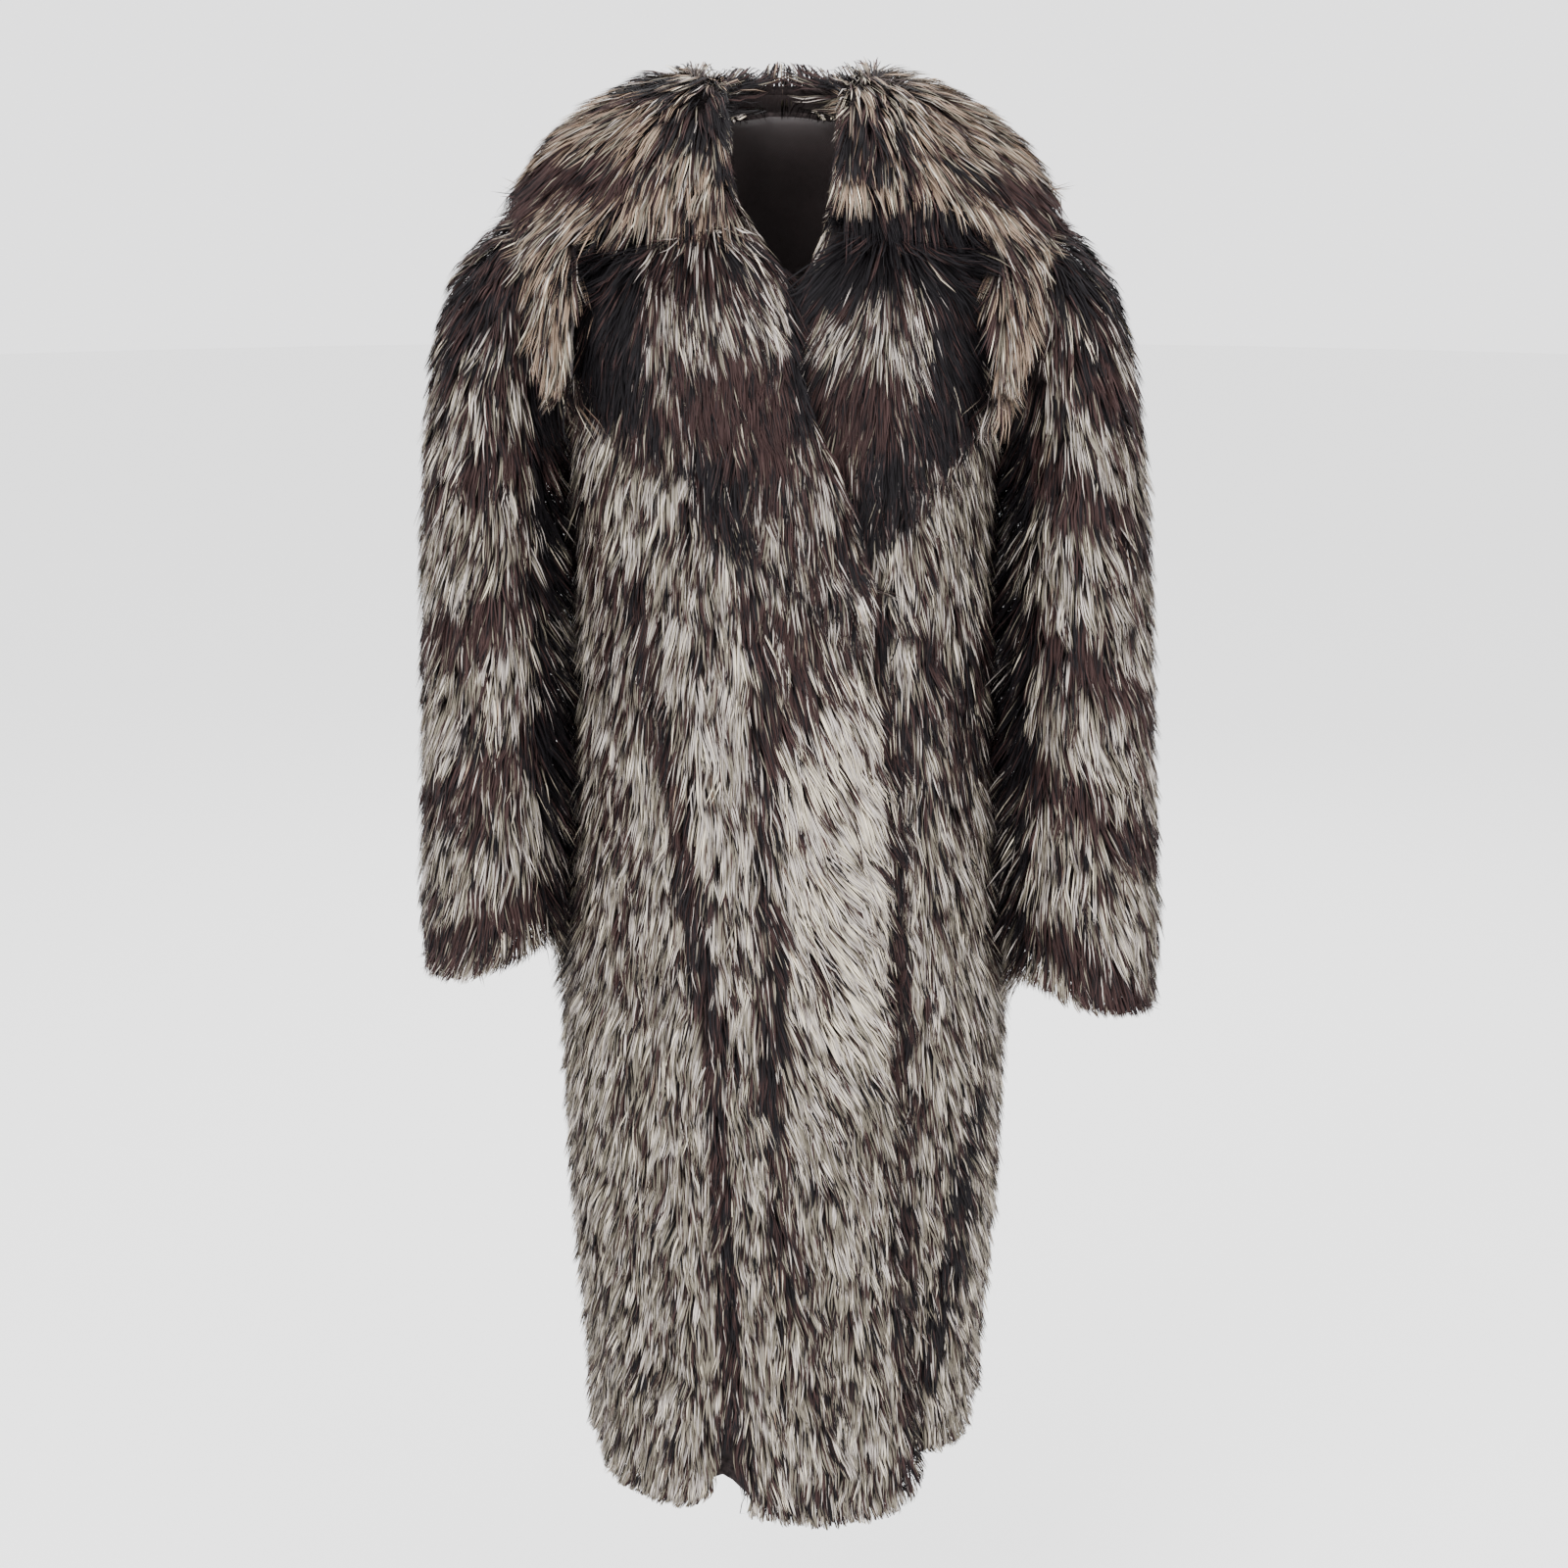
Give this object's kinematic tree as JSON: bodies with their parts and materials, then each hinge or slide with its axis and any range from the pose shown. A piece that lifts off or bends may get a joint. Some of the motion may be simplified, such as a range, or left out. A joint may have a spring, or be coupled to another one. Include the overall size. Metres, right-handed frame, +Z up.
{
  "type": "fur coat",
  "caption": "Full-length silver fox fur coat with a wide notched collar, wrapped fronts and a scalloped hem, filled out as worn.",
  "frame": {"origin": "middle of the neck's base, at the height of the neck seam on the shoulders, where the coat hangs", "axes": "+Z up, the coat's length; -Y is the front; +X is the wearer's left"},
  "size_m": [0.6477, 0.3503, 1.252],
  "materials": {
    "silver_fox": "long silver fox fur, dark underfur with silver-banded guard hairs",
    "pale_fox": "long fox fur, tan and cream with dark brown patches",
    "dark_fox": "long fox fur, black and dark brown with silver streaks"
  },
  "bodies": {
    "root": {"front_right": "silver_fox", "front_left": "silver_fox", "back": "silver_fox", "sleeve_right": "silver_fox", "sleeve_left": "silver_fox", "collar": "pale_fox", "lapel_right": "dark_fox", "lapel_left": "dark_fox"}
  },
  "joints": []
}
